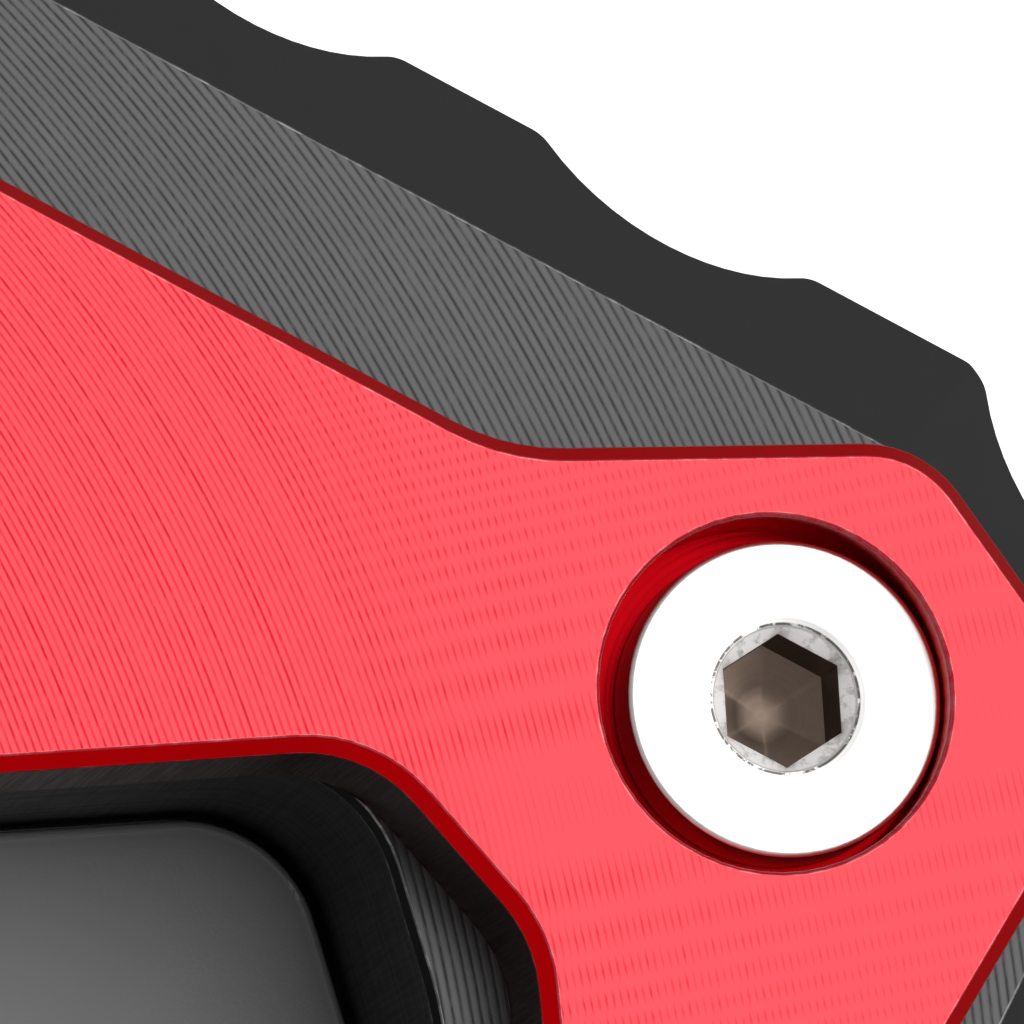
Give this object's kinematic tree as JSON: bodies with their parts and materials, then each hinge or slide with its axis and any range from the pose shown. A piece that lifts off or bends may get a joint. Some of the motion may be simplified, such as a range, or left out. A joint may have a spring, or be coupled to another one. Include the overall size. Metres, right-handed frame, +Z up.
{
  "type": "kickstand enlarger",
  "caption": "Clamp-on foot plate that widens a motorcycle side stand: scalloped base, windowed clamp plate, rubber pad and low-head socket screws.",
  "frame": {"origin": "centre of the base plate's underside, on the ground", "axes": "+X along the plate's long side, towards the end whose screw is number 1; +Y across it; +Z up, out of the clamp plate"},
  "size_m": [0.1042, 0.0768, 0.0205],
  "materials": {
    "black_anodised": "black anodised aluminium, face-milled on top, smooth on the bevel",
    "red_anodised": "red anodised aluminium, face-milled on top, polished edge breaks",
    "rubber_pad": "smooth grey rubber sheet",
    "stainless_steel": "bright turned stainless steel"
  },
  "bodies": {
    "base": {"base_plate": "black_anodised", "pocket_pad": "rubber_pad"},
    "clamp": {"clamp_plate": "red_anodised"},
    "screw_1": {"clamp_screw_1": "stainless_steel"},
    "screw_2": {"clamp_screw_2": "stainless_steel"},
    "screw_3": {"clamp_screw_3": "stainless_steel"},
    "screw_4": {"clamp_screw_4": "stainless_steel"}
  },
  "joints": [
    {"name": "clamp_lift", "type": "slide", "parent": "base", "child": "clamp", "axis": [0, 0, 1], "range_m": [0, 0.012]},
    {"name": "screw_1_out", "type": "slide", "parent": "clamp", "child": "screw_1", "axis": [0, 0, 1], "range_m": [0, 0.014]},
    {"name": "screw_2_out", "type": "slide", "parent": "clamp", "child": "screw_2", "axis": [0, 0, 1], "range_m": [0, 0.014]},
    {"name": "screw_3_out", "type": "slide", "parent": "clamp", "child": "screw_3", "axis": [0, 0, 1], "range_m": [0, 0.014]},
    {"name": "screw_4_out", "type": "slide", "parent": "clamp", "child": "screw_4", "axis": [0, 0, 1], "range_m": [0, 0.014]}
  ]
}
